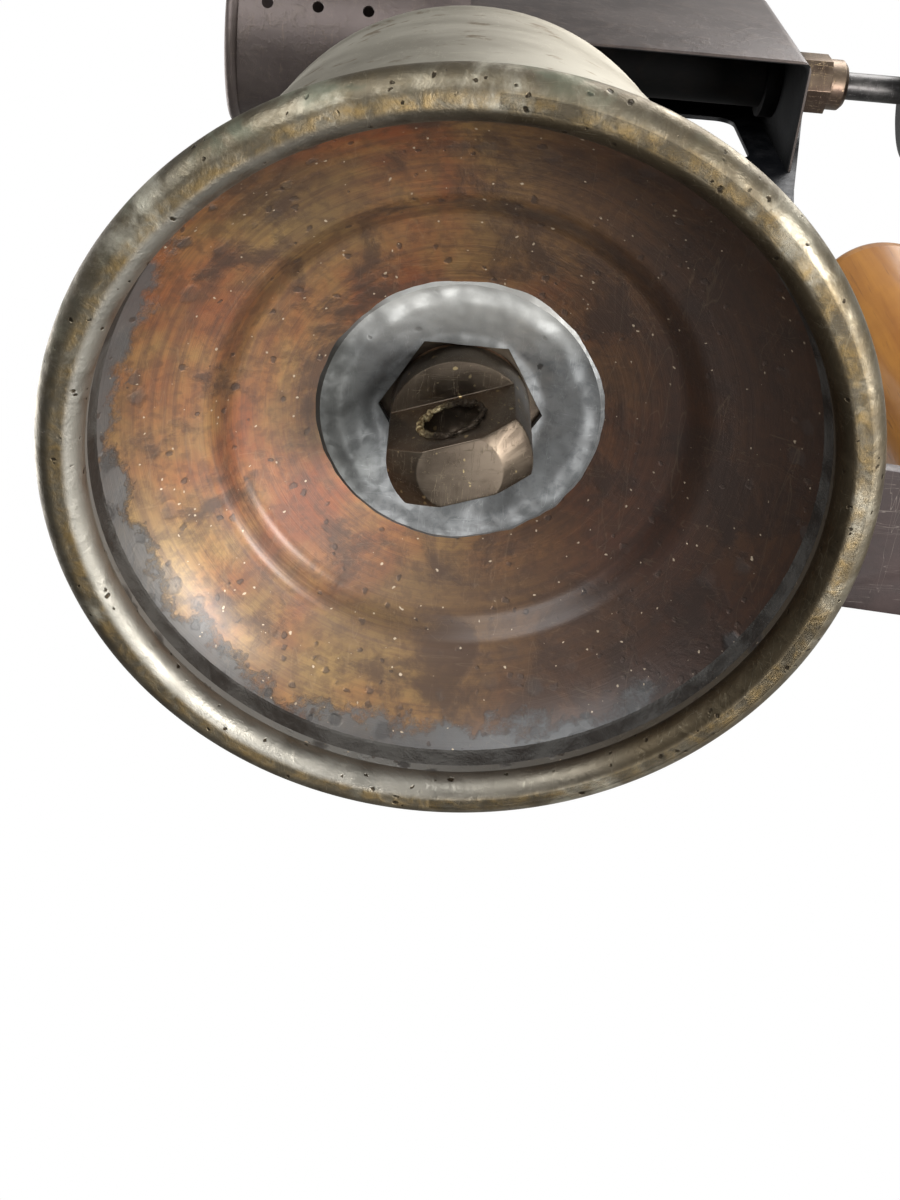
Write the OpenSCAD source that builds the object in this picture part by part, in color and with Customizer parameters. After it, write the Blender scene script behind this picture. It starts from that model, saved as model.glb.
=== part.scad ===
// Alcohol burner: brass blowlamp, filled from below, with a needle valve and a perforated
// flame tube. +Z is up, the flame leaves towards -X, and the origin is the centre of the
// foot on the surface it stands on. All sizes are in millimetres.

/* [Foot and tank] */
// Radius of the foot over its rolled edge
foot_r = 60; // [58:0.5:64]
// Radius of the rolled edge's round section
bead_r = 3.45; // [3.2:0.05:4]
// Thickness of the brass sheet
sheet = 0.9; // [0.7:0.1:1.1]
// Radius of the tank at its shoulder
shoulder_r = 44; // [42:0.5:48]
// Height of the shoulder
shoulder_z = 98; // [90:1:104]
// Height of the dome above the shoulder
dome_h = 36; // [34:0.5:36]

/* [Filler] */
// Height of the boss's lower face above the floor
boss_z = 30.6; // [29:0.1:32]
// Width of the boss across its flats
boss_af = 22.4; // [22:0.1:24]
// Outer radius of the solder ring round the boss
solder_r = 22.5; // [20:0.5:25]
// Radius of the filler plug's head
plug_r = 10.9; // [10:0.1:10.9]
// Thickness of the slab that the head is milled down to
slab_t = 9.7; // [8:0.1:11]
// Turn of the slab about the plug's axis, in degrees
slab_turn = -20; // [-90:1:90]
// Radius of the cross hole for a tommy bar
cross_r = 5; // [3:0.1:5]
// Radius of the filler thread
thread_r = 9; // [8:0.1:9]

/* [Burner] */
// Height of the burner and valve axis
burner_z = 240; // [238:0.5:244]
// Outer radius of the flame tube
tube_r = 22; // [20:0.5:22]
// Length of the flame tube in front of its back plate
tube_l = 61; // [56:1:70]
// Radius of the air holes
air_hole_r = 1.5; // [1:0.1:2]
// Half of the hood's width
hood_half = 14; // [13:0.5:16]
// Length of the hood, from back plate to rear wall
hood_l = 86.5; // [80:0.5:92]
// Lower edge of the hood
hood_z0 = 205; // [203:0.5:210]
// Upper face of the hood
hood_z1 = 272; // [268:0.5:276]

/* [Valve] */
// Radius of the spindle
spindle_r = 3.6; // [3:0.1:4]
// Width of the gland nut across its flats
gland_af = 14; // [13.5:0.5:17]
// Radius of the control knob
knob_r = 19.5; // [16:0.5:22]
// Thickness of the control knob
knob_t = 10; // [8:0.5:11]

/* [Handle] */
// Distance of the grip's axis from the tank's axis
grip_x = 84; // [82:0.5:92]
// Largest radius of the grip
grip_r = 14; // [13:0.5:15]
// Height of the grip's domed top
grip_top = 110; // [100:1:120]
// Width of the flat strap
strap_w = 24; // [20:1:28]
// Turn of the strap and grip away from the burner's plane, in degrees
handle_turn = 4.5; // [0:0.5:8]

/* [Hidden] */
$fn = 96;

// Radial clearance of a running fit
run_fit = 0.05;
// Small overshoot for clean cuts
eps = 0.1;

// Foot: the bead is worn flat by this much where it stands
bead_wear = 0.15;
bead_cr = foot_r - bead_r;
bead_cz = bead_r - bead_wear;
wall_z0 = 3;
wall_r = foot_r - 4.7;
flange_r = wall_r - sheet;
flange_in = flange_r - 1.1;
wall_straight = 11;

// Dish: a shallow cone that steps at a soft ridge and falls away to the flange
cone_slope = 0.37;
ridge_r = 36.3;
ridge_w = 4;
ridge_step = 1.6;
edge_fall = 5;
dish_hole_r = boss_af / 2 / cos(30) + 0.3;
dish_steps = 24;

// Plug levels
washer_t = 1.1;
head_z = boss_z - washer_t;
ledge_z = 23.7;
slab_shoulder_z = 12.6;
slab_end_z = 9;
slab_end_r = 6.4;
cross_z = 17;
shank_top = 41;

// Neck union
neck_r = 9;
neck_face = shoulder_z + dome_h + 2;
thread_outer = 11;
bush_top = neck_face + 10;
nut_top = neck_face + 16;
riser_r = 5.5;
riser_in = 4.3;

// Valve: the stem stands behind the back plate, and the riser enters the block in front of it
valve_x = 10;
block_z = 205;
block_h = 11;
riser_top = block_z + 5;
barrel_r = 7.5;
chamber_r = 5;
gland_x = hood_l;
gland_end = gland_x + 18;
knob_x = 123;
knob_bore = 3;

// Handle levels
strap_t = 2.2;
strap_z = 6.9;
ferrule_z = strap_z + strap_t;
grip_z = ferrule_z + 5;
grip_neck = grip_r - 2.8;

// Hood and cheek plate
hood_wall = 1;
hood_flange = 9;
cheek_t = 1.2;
screw_z = hood_z1 - 5;

brass = [0.62, 0.52, 0.30];
dark_brass = [0.40, 0.34, 0.27];
copper_brown = [0.55, 0.34, 0.20];
solder_grey = [0.46, 0.49, 0.52];
black_iron = [0.05, 0.05, 0.06];
steel_grey = [0.22, 0.22, 0.23];
amber_wood = [0.78, 0.46, 0.12];
cotton = [0.85, 0.82, 0.72];
leather_brown = [0.36, 0.22, 0.12];

function smooth(t) = t <= 0 ? 0 : t >= 1 ? 1 : t * t * (3 - 2 * t);
// Height of the dish's underside at radius r
function dish_z(r) = boss_z - cone_slope * (r - dish_hole_r)
    - ridge_step * smooth((r - ridge_r) / ridge_w + 0.5)
    - edge_fall * pow(max(0, r - ridge_r) / (flange_in - ridge_r), 3);
function step_r(i, r0, r1, n) = r0 + (r1 - r0) * i / n;
// Height of the dome's ellipse at radius r
function dome_z(r, rim, h) = shoulder_z + h * sqrt(1 - pow(r / rim, 2));

// Cylinder from z0 to z1
module rod_z(r, z0, z1) { translate([0, 0, z0]) cylinder(r = r, h = z1 - z0); }
// Cylinder from x0 to x1 on the burner axis
module rod_x(r, x0, x1, r2 = -1) {
    translate([x0, 0, burner_z]) rotate([0, 90, 0])
        cylinder(r1 = r, r2 = r2 < 0 ? r : r2, h = x1 - x0);
}
module hex_z(af, z0, z1) {
    translate([0, 0, z0]) cylinder(r = af / 2 / cos(30), h = z1 - z0, $fn = 6);
}
module hex_x(af, x0, x1) {
    translate([x0, 0, burner_z]) rotate([0, 90, 0])
        cylinder(r = af / 2 / cos(30), h = x1 - x0, $fn = 6);
}
module on_grip_axis() { rotate([0, 0, handle_turn]) translate([grip_x, 0, 0]) children(); }
// Flat rounded rectangle in the XZ plane, from y0 to y1
module round_window(x0, x1, z0, z1, r, y0, y1) {
    translate([0, y1, 0]) rotate([90, 0, 0]) linear_extrude(y1 - y0)
        union() {
            translate([x0 + r, z0]) square([x1 - x0 - 2 * r, z1 - z0]);
            translate([x0, z0 + r]) square([x1 - x0, z1 - z0 - 2 * r]);
            for (x = [x0 + r, x1 - r], z = [z0 + r, z1 - r]) translate([x, z]) circle(r);
        }
}

module base_rim() {
    color(brass) rotate_extrude() difference() {
        translate([bead_cr, bead_cz]) circle(bead_r);
        translate([bead_cr, bead_cz]) circle(bead_r - sheet);
        translate([flange_in - 5, wall_z0]) square([wall_r - flange_in + 5, 10]);
        translate([bead_cr - 10, -5]) square([20, 5]);
    }
}

module rim_wire() {
    color(steel_grey) rotate_extrude()
        difference() {
            translate([bead_cr, bead_cz]) circle(bead_r - sheet - 0.05);
            translate([flange_in - 5, wall_z0 - 0.1]) square([wall_r - flange_in + 5.1, 10]);
        }
}

module tank_shell() {
    inner_r = shoulder_r - sheet;
    inner_h = dome_h - sheet;
    steps = 18;
    top_out = dome_z(neck_r, shoulder_r, dome_h);
    top_in = dome_z(neck_r, inner_r, inner_h);
    color(dark_brass) rotate_extrude() polygon(concat(
        [[wall_r, wall_z0], [wall_r, wall_straight]],
        [for (i = [0:steps])
            let (a = i / steps * asin((top_out - shoulder_z) / dome_h))
            [shoulder_r * cos(a), shoulder_z + dome_h * sin(a)]],
        [for (i = [steps:-1:0])
            let (a = i / steps * asin((top_in - shoulder_z) / inner_h))
            [inner_r * cos(a), shoulder_z + inner_h * sin(a)]],
        [[flange_r, wall_straight], [flange_r, wall_z0]]));
}

module bottom_dish() {
    color(copper_brown) rotate_extrude() polygon(concat(
        [for (i = [0:dish_steps])
            let (r = step_r(i, dish_hole_r, flange_in, dish_steps)) [r, dish_z(r)]],
        [[flange_in, wall_z0], [flange_r, wall_z0], [flange_r, dish_z(flange_in) + 0.9]],
        [for (i = [dish_steps:-1:0])
            let (r = step_r(i, dish_hole_r, flange_in, dish_steps),
                slope = (dish_z(r - eps) - dish_z(r + eps)) / (2 * eps))
            [r, dish_z(r) + sheet * sqrt(1 + slope * slope)]]));
}

// Fillet of solder in the corner between dish and flange
module rim_solder() {
    z = dish_z(flange_in);
    inner = step_r(dish_steps - 1, dish_hole_r, flange_in, dish_steps);
    color(solder_grey) rotate_extrude() polygon([[flange_in, z - 3.2], [flange_in, z],
        [inner, dish_z(inner)], [flange_in - 0.5, z - 0.6]]);
}

module filler_boss() {
    color(dark_brass) difference() {
        union() {
            hex_z(boss_af, boss_z, boss_z + 13.4);
            rod_z(17, boss_z + 1.1, boss_z + 3.1);
        }
        rod_z(thread_r, boss_z - eps, boss_z + 13.4 + eps);
    }
}

// The solder lies on the dish and runs up to the boss's edges
module filler_solder() {
    steps = 8;
    inner = boss_af / 2 - 0.5;
    color(solder_grey) difference() {
        rotate_extrude() polygon(concat(
            [for (i = [0:steps]) let (r = step_r(i, inner, solder_r, steps))
                [r, dish_z(max(r, dish_hole_r))]],
            [for (i = [steps:-1:0]) let (r = step_r(i, inner, solder_r, steps))
                [r, dish_z(max(r, dish_hole_r)) - 0.35
                    - 0.7 * smooth((r - inner) / 4) * smooth((solder_r - r) / 2)]]));
        hex_z(boss_af, boss_z - 3, boss_z + 5);
    }
}

module filler_washer() {
    color(leather_brown) difference() {
        rod_z(plug_r - 0.2, head_z, boss_z);
        rod_z(thread_r + 0.3, head_z - eps, boss_z + eps);
    }
}

module filler_plug() {
    side = 2 * plug_r + 2;
    color(brass) rotate([0, 0, slab_turn]) difference() {
        rotate_extrude() polygon([[0, slab_end_z], [slab_end_r, slab_end_z],
            [plug_r, slab_shoulder_z], [plug_r, head_z], [thread_r - run_fit, head_z],
            [thread_r - run_fit, shank_top - 1], [thread_r - 1, shank_top], [0, shank_top]]);
        for (s = [-1, 1]) translate([-side / 2, s > 0 ? slab_t / 2 : -slab_t / 2 - side, 0])
            cube([side, side, ledge_z]);
        translate([0, side / 2, cross_z]) rotate([90, 0, 0]) cylinder(r = cross_r, h = side);
    }
}

module fuel_wick() {
    color(cotton) rod_z(riser_in - 0.1, shank_top + 6, nut_top + 18);
}

module neck_bush() {
    color(brass) rotate_extrude() polygon([[riser_r + 0.5, shoulder_z + dome_h - 9],
        [neck_r - 0.1, shoulder_z + dome_h - 9],
        [neck_r - 0.1, dome_z(neck_r, shoulder_r, dome_h) + 0.2],
        [15, dome_z(15, shoulder_r, dome_h) + 0.2], [15, neck_face], [thread_outer, neck_face],
        [thread_outer, bush_top], [riser_r + 0.5, bush_top]]);
}

module neck_washer() {
    color(leather_brown) difference() {
        rod_z(thread_outer - 0.3, bush_top, bush_top + 1.2);
        rod_z(riser_r + 0.2, bush_top - eps, bush_top + 1.2 + eps);
    }
}

module neck_nut() {
    color(brass) difference() {
        hex_z(27, neck_face + 1.3, nut_top);
        rod_z(thread_outer + 0.05, neck_face, nut_top - 2.2);
        rod_z(riser_r + 0.2, nut_top - 3, nut_top + eps);
    }
}

// Open cup for the priming spirit, resting on the neck nut
module preheat_cup() {
    color(dark_brass) rotate_extrude() polygon([[riser_r + 0.2, nut_top], [18, nut_top],
        [24, nut_top + 5], [24.8, nut_top + 14], [23.9, nut_top + 14], [23.2, nut_top + 5.5],
        [17.6, nut_top + 0.9], [riser_r + 0.2, nut_top + 0.9]]);
}

// Straight riser with a collar that the neck nut clamps
module riser_tube() {
    color(dark_brass) difference() {
        union() {
            rod_z(riser_r, bush_top + 1.2, riser_top);
            rod_z(10.4, bush_top + 1.2, nut_top - 2.3);
        }
        rod_z(riser_in, bush_top, riser_top + eps);
    }
}

// Casting: foot block on the riser, stem up to the barrel, and the barrel to the rear wall
module valve_body() {
    block_r = 7.5;
    channel_z = block_z + block_h / 2;
    color(brass) difference() {
        union() {
            rod_x(barrel_r, 2, gland_x - 3);
            rod_x(10, gland_x - 5, gland_x - 1);
            rod_x(6, gland_x - 3, gland_x + 6.5);
            translate([valve_x, 0, block_z]) cylinder(r = 6.5, h = burner_z - block_z);
            for (x = [0, valve_x]) translate([x, 0, block_z]) cylinder(r = block_r, h = block_h);
            translate([0, -block_r, block_z]) cube([valve_x, 2 * block_r, block_h]);
        }
        rod_x(chamber_r, 5, 18);
        rod_x(0.95, 1, 6);
        rod_x(spindle_r + run_fit, 17, gland_x + 7);
        rod_x(5.2, gland_x - 2.5, gland_x + 7);
        rod_z(riser_r, block_z - 1, riser_top);
        rod_z(riser_in, block_z, channel_z);
        translate([0, 0, channel_z]) rotate([0, 90, 0]) cylinder(r = 3, h = valve_x);
        translate([valve_x, 0, channel_z]) cylinder(r = 3.4, h = burner_z - channel_z);
    }
}

module jet_nipple() {
    color(brass) difference() {
        union() {
            hex_x(9, -2, 2);
            rod_x(2, -7, -2, 3.6);
        }
        rod_x(0.6, -8, 3);
        rod_x(0.95, -1.2, 3);
    }
}

// Loose needle, carried in the spindle's end
module needle_tip() {
    color(steel_grey) {
        rod_x(0.3, -1, 2.5, 0.85);
        rod_x(0.85, 2.5, 19.5);
    }
}

module needle_spindle() {
    color(steel_grey) difference() {
        union() {
            rod_x(spindle_r, 14, knob_x);
            rod_x(knob_bore, knob_x, knob_x + knob_t + 5);
        }
        rod_x(0.9, 13, 19.6);
    }
}

module gland_packing() {
    color(cotton) difference() {
        rod_x(5.2, gland_x - 2.4, gland_x + 4.5);
        rod_x(spindle_r + run_fit, gland_x - 3, gland_x + 5);
    }
}

module gland_nut() {
    color(dark_brass) difference() {
        union() {
            hex_x(gland_af, gland_x, gland_end - 5);
            rod_x(6.6, gland_end - 5, gland_end - 1.2);
            rod_x(6.6, gland_end - 1.2, gland_end, 5.4);
        }
        rod_x(6.05, gland_x - eps, gland_x + 8);
        rod_x(spindle_r + run_fit, gland_x, gland_end + eps);
    }
}

module control_knob() {
    flutes = 14;
    color(black_iron) difference() {
        translate([knob_x, 0, burner_z]) rotate([0, 90, 0]) rotate_extrude() polygon([
            [knob_bore, 0], [7, 0], [8, 1.6], [knob_r - 3, 1.6], [knob_r - 0.8, 2.4],
            [knob_r, 4], [knob_r, knob_t - 3], [knob_r - 0.8, knob_t - 1.4],
            [knob_r - 3, knob_t - 0.6], [8, knob_t - 1.2], [7, knob_t], [knob_bore, knob_t]]);
        for (i = [0:flutes - 1]) translate([knob_x - 1, 0, burner_z])
            rotate([i * 360 / flutes, 0, 0]) translate([0, 0, knob_r + 1.6])
                rotate([0, 90, 0]) cylinder(r = 2.4, h = knob_t + 2, $fn = 24);
    }
}

module knob_nut() {
    color(brass) difference() {
        hex_x(10, knob_x + knob_t, knob_x + knob_t + 3.6);
        rod_x(knob_bore, knob_x, knob_x + knob_t + 5);
    }
}

// Three rings of air holes round the flame tube, with none on its underside
module flame_tube() {
    first_hole = 9;
    hole_pitch = 13;
    first_turn = -35;
    turn_pitch = 36;
    color(dark_brass) difference() {
        rod_x(tube_r, -tube_l, 0);
        rod_x(tube_r - sheet, -tube_l - 1, 1);
        for (row = [0:2], i = [0:6])
            translate([-tube_l + first_hole + row * hole_pitch, 0, burner_z])
                rotate([first_turn - i * turn_pitch, 0, 0]) translate([0, 0, -tube_r - 2])
                    cylinder(r = air_hole_r, h = 6, $fn = 24);
    }
}

module mouth_ring() {
    color(dark_brass) translate([-tube_l, 0, burner_z]) rotate([0, 90, 0])
        rotate_extrude() difference() {
            translate([tube_r - 0.1, 0]) circle(1.6);
            translate([tube_r - sheet, 0]) square([sheet, 4]);
        }
}

module tube_back_plate() {
    holes = 6;
    color(dark_brass) difference() {
        rod_x(tube_r - sheet, -1.2, 0);
        rod_x(6.5, -2, 1);
        for (i = [0:holes - 1]) translate([-2, 0, burner_z])
            rotate([i * 360 / holes + 30, 0, 0]) translate([0, 0, 13])
                rotate([0, 90, 0]) cylinder(r = 2.5, h = 4, $fn = 24);
    }
}

// Bent sheet: near side, top and rear wall, open below, with a narrow flange down the far side
module hood() {
    bend = 3;
    h = hood_z1 - hood_z0;
    color(dark_brass) {
        difference() {
            translate([0, 0, hood_z0]) linear_extrude(h) union() {
                translate([0, -hood_half]) square([hood_l - bend, 2 * hood_half]);
                translate([hood_l - bend - 1, bend - hood_half])
                    square([bend + 1, 2 * hood_half - bend]);
                translate([hood_l - bend, bend - hood_half]) circle(bend);
            }
            translate([-1, 0, hood_z0 - 1]) linear_extrude(h - hood_wall + 1) union() {
                translate([0, hood_wall - hood_half])
                    square([hood_l - bend + 1, 2 * hood_half + 2]);
                translate([hood_l - bend, bend - hood_half])
                    square([bend - hood_wall + 1, 2 * hood_half]);
                translate([hood_l - bend + 1, bend - hood_half]) circle(bend - hood_wall);
            }
            rod_x(6.05, hood_l - 5, hood_l + 1);
        }
        translate([0, hood_half - hood_wall, hood_z1 - hood_flange])
            cube([hood_l - hood_wall / 2, hood_wall, hood_flange - hood_wall / 2]);
    }
}

// Black side plate: closes the hood's far side, leans back past it, and runs down as a stay
// to a foot clamped under the neck nut
module cheek_plate() {
    y = hood_half;
    top = hood_z1 - 0.5;
    corner = 6;
    rear_x = 101;
    color(black_iron) {
        difference() {
            translate([0, y + cheek_t, 0]) rotate([90, 0, 0]) linear_extrude(cheek_t) union() {
                polygon([[2, 216], [2, top], [rear_x - corner, top], [rear_x, top - corner],
                    [85, 191], [81.5, 172], [72, neck_face], [18, neck_face], [18, 150],
                    [30, 190]]);
                translate([rear_x - corner, top - corner]) circle(corner);
            }
            round_window(40, 77.5, 213, 249, 5, y - 1, y + cheek_t + 1);
        }
        difference() {
            translate([18, 0, neck_face]) union() {
                translate([0, -5, 0]) cube([10, y + 5 + cheek_t, cheek_t]);
                translate([-18, -15, 0]) cube([18, 30, cheek_t]);
                translate([-18, 0, 0]) cylinder(r = 15, h = cheek_t);
            }
            rod_z(thread_outer + 0.1, neck_face - 1, neck_face + 3);
        }
    }
}

// Round-headed screws through the cheek plate into the hood's flange
module cheek_screws() {
    color(steel_grey) for (x = [12, 48, 80])
        translate([x, hood_half + cheek_t, screw_z]) rotate([-90, 0, 0]) {
            cylinder(r = 2.4, h = 1.4, $fn = 32);
            translate([0, 0, -4]) cylinder(r = 1.1, h = 4.5, $fn = 32);
        }
}

module handle_strap() {
    tab_top = 25;
    tab_a = asin(strap_w / 2 / wall_r) - 0.4;
    arm_x = wall_r + 0.6;
    color(dark_brass) rotate([0, 0, handle_turn]) difference() {
        union() {
            translate([grip_x, 0, strap_z]) cylinder(r = strap_w / 2, h = strap_t);
            translate([arm_x, -strap_w / 2, strap_z])
                cube([grip_x - arm_x, strap_w, strap_t]);
            rotate([0, 0, -tab_a]) rotate_extrude(angle = 2 * tab_a) polygon([
                [wall_r + 0.1, strap_z], [wall_r + 2, strap_z], [wall_r + 2, wall_straight],
                [wall_r + 0.2, tab_top], [wall_r - 1.6, tab_top], [wall_r + 0.1, wall_straight]]);
        }
        translate([grip_x, 0, 0]) rod_z(2.5, strap_z - 1, strap_z + strap_t + 1);
    }
}

module strap_rivets() {
    color(brass) for (a = [-7, 7]) rotate([0, 0, handle_turn + a]) translate([wall_r + 0.4, 0, 18])
        rotate([0, 90, 0]) {
            cylinder(r = 2.6, h = 1.6, $fn = 32);
            translate([0, 0, -2.4]) cylinder(r = 1.4, h = 2.5, $fn = 32);
        }
}

module grip_ferrule() {
    outer = grip_neck + 1;
    inner = grip_neck + 0.1;
    color(brass) on_grip_axis() rotate_extrude() polygon([[2.5, ferrule_z],
        [outer, ferrule_z], [outer, grip_z + 3], [inner, grip_z + 3], [inner, grip_z],
        [2.5, grip_z]]);
}

// Barrel-shaped grip with a domed top, hollow for the tie rod
module handle_grip() {
    dome_h = 12;
    body_h = grip_top - grip_z - dome_h;
    steps = 14;
    dome = 8;
    color(amber_wood) on_grip_axis() difference() {
        rotate_extrude() polygon(concat([[0, grip_z], [grip_neck, grip_z],
            [grip_neck, grip_z + 3]],
            [for (i = [0:steps]) [grip_neck + (grip_r - grip_neck) * sin(i / steps * 90)
                + 0.05, grip_z + 3.1 + (body_h - 3) * i / steps]],
            [for (i = [1:dome]) [grip_r * cos(i / dome * 90), grip_z + body_h
                + dome_h * sin(i / dome * 90)]]));
        rod_z(2.6, grip_z - 1, grip_top + 1);
        rod_z(5.4, grip_top - 8, grip_top + 1);
    }
}

module handle_rod() {
    color(steel_grey) on_grip_axis() {
        rod_z(2.5, 2.6, grip_top - 7);
        rod_z(4.2, grip_top - 7, grip_top - 4.4);
    }
}

module handle_washer() {
    color(brass) on_grip_axis() difference() {
        rod_z(5.2, grip_top - 8, grip_top - 7);
        rod_z(2.5, grip_top - 9, grip_top - 6);
    }
}

module handle_foot_nut() {
    color(brass) on_grip_axis() difference() {
        hex_z(9, 3.2, strap_z);
        rod_z(2.5, 2, strap_z + 1);
    }
}

base_rim();
rim_wire();
tank_shell();
bottom_dish();
rim_solder();
filler_boss();
filler_solder();
filler_washer();
filler_plug();
fuel_wick();
neck_bush();
neck_washer();
neck_nut();
preheat_cup();
riser_tube();
valve_body();
jet_nipple();
needle_tip();
needle_spindle();
gland_packing();
gland_nut();
control_knob();
knob_nut();
flame_tube();
mouth_ring();
tube_back_plate();
hood();
cheek_plate();
cheek_screws();
handle_strap();
strap_rivets();
grip_ferrule();
handle_grip();
handle_rod();
handle_washer();
handle_foot_nut();
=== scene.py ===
# Alcohol burner: an old brass blowlamp that is filled through its hollow foot.
# The sections follow the lamp as it is put together, from the foot up to the knob, and end
# with the handle.
import math

import bpy
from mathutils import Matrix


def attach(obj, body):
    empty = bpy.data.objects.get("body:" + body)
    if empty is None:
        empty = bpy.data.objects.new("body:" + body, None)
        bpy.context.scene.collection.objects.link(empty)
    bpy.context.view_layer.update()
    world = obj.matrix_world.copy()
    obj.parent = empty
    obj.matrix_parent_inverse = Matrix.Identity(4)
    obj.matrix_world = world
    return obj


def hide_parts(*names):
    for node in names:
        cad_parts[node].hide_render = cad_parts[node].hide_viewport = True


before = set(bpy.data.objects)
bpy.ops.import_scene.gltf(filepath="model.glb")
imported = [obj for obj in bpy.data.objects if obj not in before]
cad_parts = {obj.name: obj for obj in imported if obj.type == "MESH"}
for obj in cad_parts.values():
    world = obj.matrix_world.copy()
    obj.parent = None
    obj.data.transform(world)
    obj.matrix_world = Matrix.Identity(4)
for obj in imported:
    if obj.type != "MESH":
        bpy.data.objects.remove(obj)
bpy.ops.object.select_all(action="DESELECT")
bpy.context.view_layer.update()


# --- Camera, light and floor -------------------------------------------------------------
# The lamp is seen from below its foot, on the side away from the cheek plate. The floor
# shows only to a camera above it, and lets the light from below into the hollow foot.
def node(tree, kind, sockets=None, **settings):
    """A shader node with its settings, and its inputs linked or given a value."""
    made = tree.nodes.new("ShaderNode" + kind)
    for name, value in settings.items():
        setattr(made, name, value)
    for name, value in (sockets or {}).items():
        if isinstance(value, bpy.types.NodeSocket):
            tree.links.new(value, made.inputs[name])
        else:
            made.inputs[name].default_value = value
    return made


camera_data = bpy.data.cameras.new("camera")
camera_data.sensor_width = 36
camera_data.lens = 45
camera = bpy.data.objects.new("camera", camera_data)
camera.location = (-0.0081, -0.1086, -0.1816)
camera.rotation_euler = [math.radians(a) for a in (145.45, -0.69, -4.75)]
bpy.context.collection.objects.link(camera)
bpy.context.scene.camera = camera
bpy.context.scene.view_settings.view_transform = "Standard"


def area_light(name, place, aim, size, watts, tint=(1, 1, 1)):
    """A soft square lamp at place that shines at aim."""
    data = bpy.data.lights.new(name, "AREA")
    data.size = size
    data.energy = watts
    data.color = tint
    lamp = bpy.data.objects.new(name, data)
    lamp.location = place
    way = [b - a for a, b in zip(place, aim)]
    flat = math.hypot(way[0], way[1])
    heading = math.atan2(way[1], way[0]) - math.pi / 2
    lamp.rotation_euler = (math.atan2(flat, -way[2]), 0, heading)
    bpy.context.collection.objects.link(lamp)


foot_centre = (0, 0, 0.02)
tank_middle = (0, 0, 0.06)
neck = (0, 0, 0.14)
area_light("window_below", (0.54, -0.08, -0.41), foot_centre, 0.20, 5.2, (1, 0.985, 0.96))
area_light("sky_below", (0.20, 0.20, -0.62), foot_centre, 0.24, 1.9)
area_light("fill_below", (-0.3, -0.5, -0.25), tank_middle, 0.5, 4.5, (0.95, 0.98, 1))
area_light("window_above", (0.5, -0.55, 0.75), neck, 0.5, 9)
area_light("fill_above", (-0.7, 0.3, 0.6), neck, 0.6, 5)

# The room is light towards the handle, dim towards the flame, and plain white to a camera
world = bpy.data.worlds.new("studio")
world.use_nodes = True
sky = world.node_tree
sky.nodes.clear()
way = node(sky, "SeparateXYZ", {"Vector": node(sky, "TexCoord").outputs["Generated"]})
handle_side = node(sky, "MapRange", {
    "Value": way.outputs["X"], "From Min": -1.0, "From Max": 1.0})
shade = node(sky, "ValToRGB", {"Fac": handle_side.outputs[0]})
shade.color_ramp.elements[0].color = (0.05, 0.05, 0.055, 1)
shade.color_ramp.elements[1].color = (0.55, 0.55, 0.53, 1)
seen = node(sky, "MixShader", {
    0: node(sky, "LightPath").outputs["Is Camera Ray"],
    1: node(sky, "Background", {"Color": shade.outputs["Color"]}).outputs[0],
    2: node(sky, "Background", {"Color": (1, 1, 1, 1)}).outputs[0]})
node(sky, "OutputWorld", {"Surface": seen.outputs[0]})
bpy.context.scene.world = world

bpy.ops.mesh.primitive_plane_add(size=6)
floor = bpy.context.object
floor.name = "floor"
floor_paint = bpy.data.materials.new("floor_paint")
floor_paint.use_nodes = True
tree = floor_paint.node_tree
from_below = node(tree, "NewGeometry").outputs["Backfacing"]
looked_at = node(tree, "LightPath").outputs["Is Camera Ray"]
shown = node(tree, "Math", {0: looked_at, 1: from_below}, operation="SUBTRACT",
             use_clamp=True).outputs[0]
one_sided = node(tree, "MixShader", {
    0: shown,
    1: node(tree, "BsdfTransparent").outputs[0],
    2: tree.nodes["Principled BSDF"].outputs[0]})
tree.nodes["Principled BSDF"].inputs["Base Color"].default_value = (0.82, 0.82, 0.80, 1)
tree.nodes["Principled BSDF"].inputs["Roughness"].default_value = 0.7
tree.links.new(one_sided.outputs[0], tree.nodes["Material Output"].inputs["Surface"])
floor.data.materials.append(floor_paint)
bpy.ops.object.select_all(action="DESELECT")


# --- Foot: rolled edge and its wire ------------------------------------------------------
# The tank's lower edge is rolled round an iron wire. The bead is olive-golden brass, rubbed
# silvery in patches, with pale verdigris on the outside away from the handle.
def shader_group(name, inputs, outputs):
    """An empty node group with the given float or vector inputs and float outputs."""
    group = bpy.data.node_groups.new(name, "ShaderNodeTree")
    for label, default in inputs:
        kind = "NodeSocketVector" if default is None else "NodeSocketFloat"
        made = group.interface.new_socket(label, in_out="INPUT", socket_type=kind)
        if default is not None:
            made.default_value = default
    for label in outputs:
        group.interface.new_socket(label, in_out="OUTPUT", socket_type="NodeSocketFloat")
    return group, group.nodes.new("NodeGroupInput"), group.nodes.new("NodeGroupOutput")


def math_node(tree, operation, a, b=0.0):
    return node(tree, "Math", {0: a, 1: b}, operation=operation).outputs[0]


def times(tree, a, b):
    return math_node(tree, "MULTIPLY", a, b)


def plus(tree, base, value, share=1.0):
    """Base with a share of value added to it."""
    return math_node(tree, "ADD", base, times(tree, value, share))


def rise(tree, value, start, end):
    """0 where value is at start, 1 where it is at end, and straight between them."""
    return node(tree, "MapRange", {
        "Value": value, "From Min": start, "From Max": end}).outputs[0]


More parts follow.
